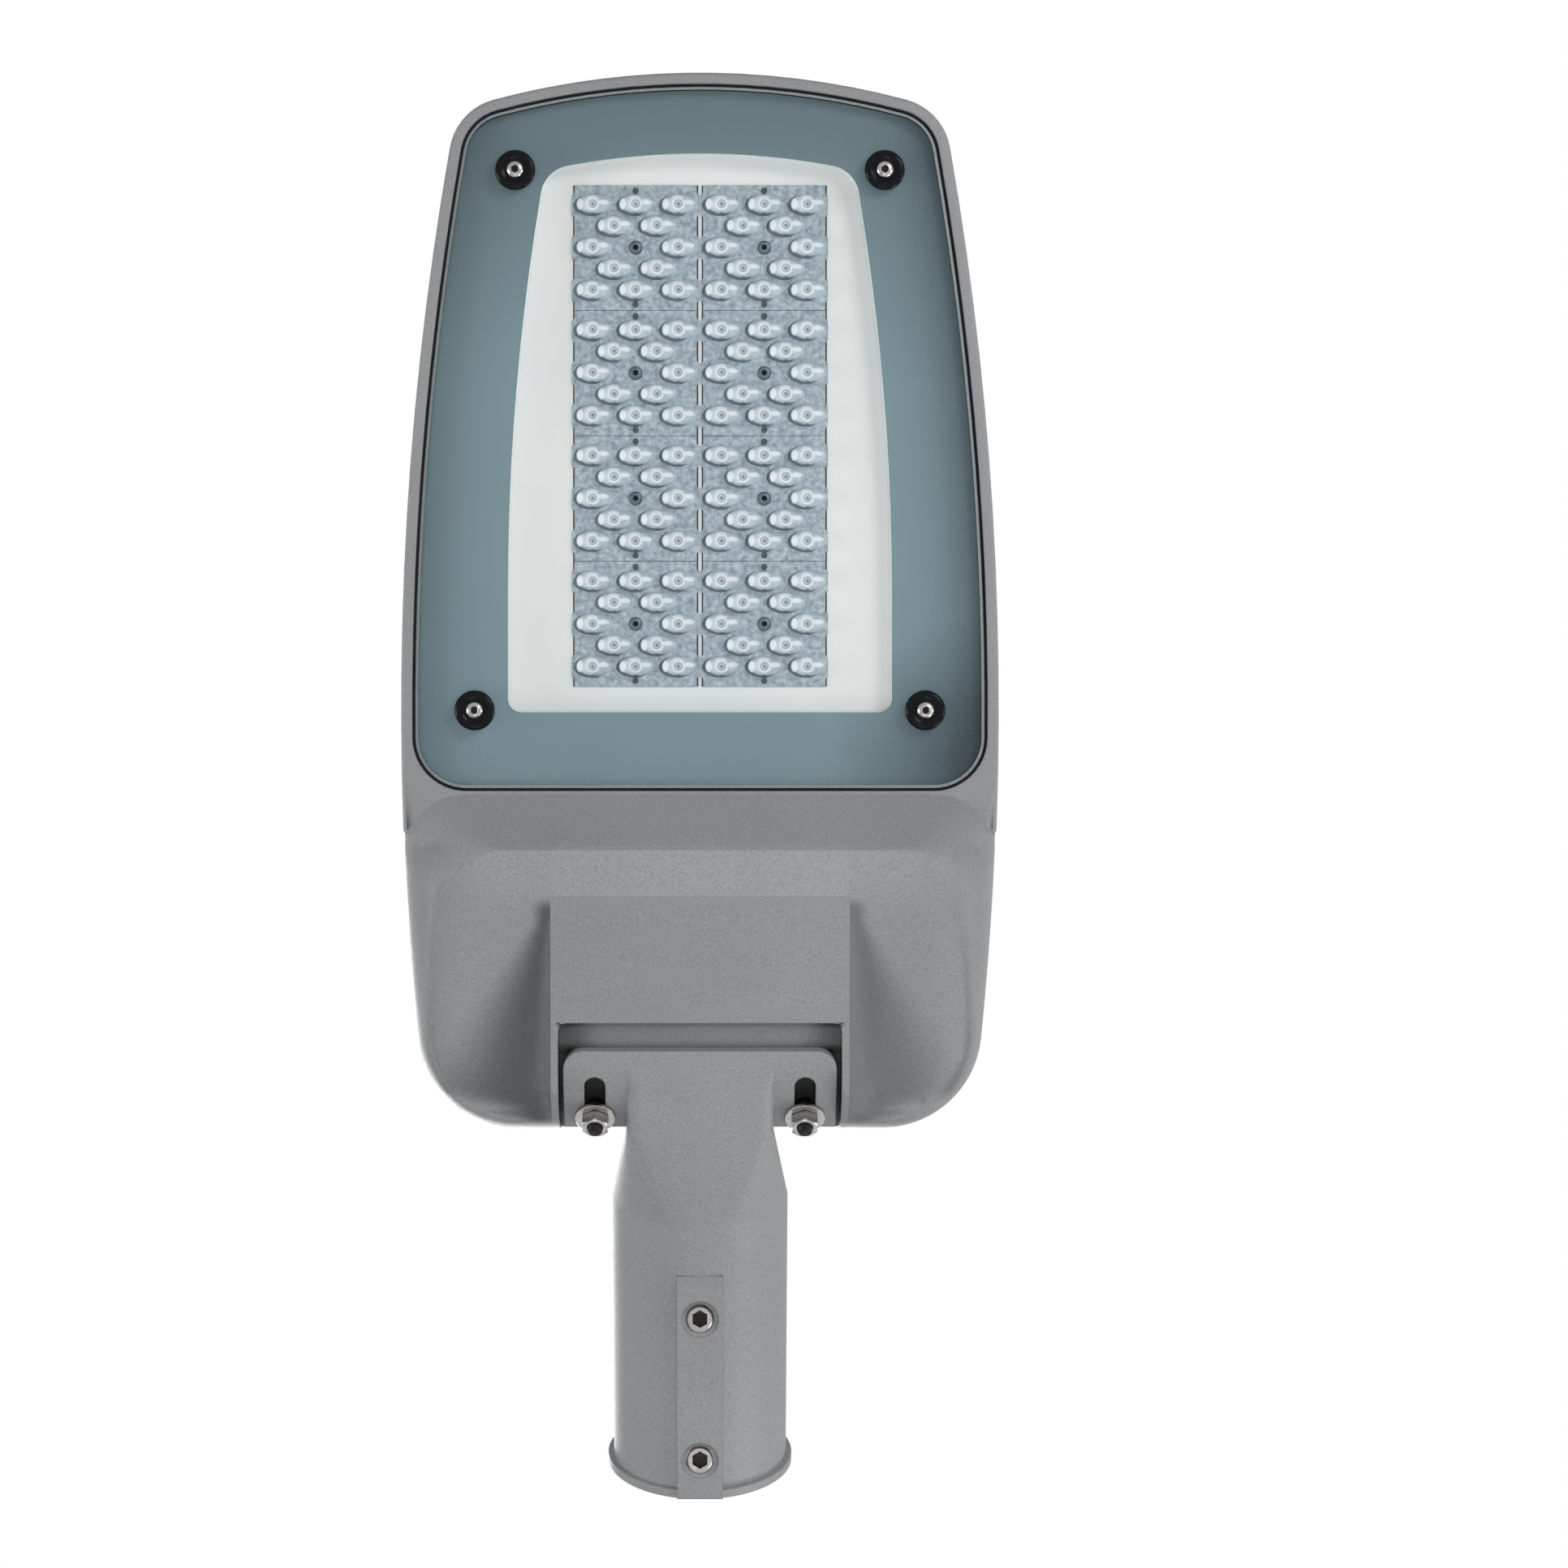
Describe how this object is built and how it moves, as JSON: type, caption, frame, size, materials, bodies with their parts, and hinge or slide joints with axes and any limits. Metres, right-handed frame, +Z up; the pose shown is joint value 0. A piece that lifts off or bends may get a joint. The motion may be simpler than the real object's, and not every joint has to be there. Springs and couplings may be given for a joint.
{
  "type": "led street light head",
  "caption": "Pole-top road light: finned cast head with a glazed LED bay and a covered gear bay, on a spigot that tilts at a curved saddle.",
  "frame": {"origin": "centre of the pole socket's mouth, on the socket's axis", "axes": "+Z up, +Y level from the pole towards the nose, +X to the right seen from behind the pole"},
  "size_m": [0.2388, 0.574, 0.1217],
  "materials": {
    "grey_casting": "fine textured grey powder coat on die-cast aluminium",
    "black_rubber": "matte black silicone rubber",
    "clear_glass": "clear toughened glass",
    "slate_print": "slate blue-grey enamel fired on the glass",
    "white_tray": "white satin reflector sheet",
    "stainless": "stainless steel",
    "black_steel": "blackened steel",
    "black_plastic": "black moulded nylon",
    "led_board": "white solder mask on an aluminium board",
    "clear_lens": "clear moulded optical plastic",
    "driver_case": "black potted case",
    "white_plastic": "white moulded plastic"
  },
  "bodies": {
    "spigot": {"set_screw_1": "stainless", "set_screw_2": "stainless", "spigot": "grey_casting", "spigot_gasket": "black_rubber"},
    "head": {"cable_grommet": "black_rubber", "cover_gasket": "black_rubber", "cover_screw_1": "stainless", "cover_screw_2": "stainless", "cover_screw_3": "stainless", "cover_screw_4": "stainless", "cover_screw_5": "stainless", "cover_screw_6": "stainless", "driver_screw_1": "stainless", "driver_screw_2": "stainless", "gear_cover": "grey_casting", "glass_cover": "clear_glass", "glass_gasket": "black_rubber", "glass_print": "slate_print", "glass_screw_1": "stainless", "glass_screw_2": "stainless", "glass_screw_3": "stainless", "glass_screw_4": "stainless", "glass_washer_1": "black_plastic", "glass_washer_2": "black_plastic", "glass_washer_3": "black_plastic", "glass_washer_4": "black_plastic", "housing": "grey_casting", "led_board_1": "led_board", "led_board_2": "led_board", "led_board_3": "led_board", "led_board_4": "led_board", "led_board_5": "led_board", "led_board_6": "led_board", "led_board_7": "led_board", "led_board_8": "led_board", "led_driver": "driver_case", "lens_plate_1": "clear_lens", "lens_plate_2": "clear_lens", "lens_plate_3": "clear_lens", "lens_plate_4": "clear_lens", "lens_plate_5": "clear_lens", "lens_plate_6": "clear_lens", "lens_plate_7": "clear_lens", "lens_plate_8": "clear_lens", "lens_screws": "stainless", "reflector_tray": "white_tray", "surge_protector": "white_plastic", "terminal_block": "white_plastic", "tilt_nut_left": "stainless", "tilt_nut_right": "stainless", "tilt_stud_left": "black_steel", "tilt_stud_right": "black_steel", "tilt_washer_left": "stainless", "tilt_washer_right": "stainless"}
  },
  "joints": [
    {"name": "head_tilt", "type": "hinge", "parent": "spigot", "child": "head", "pos_m": [0, 0.19071, -0.02422], "axis": [1, 0, 0], "range_deg": [0, 15]}
  ]
}
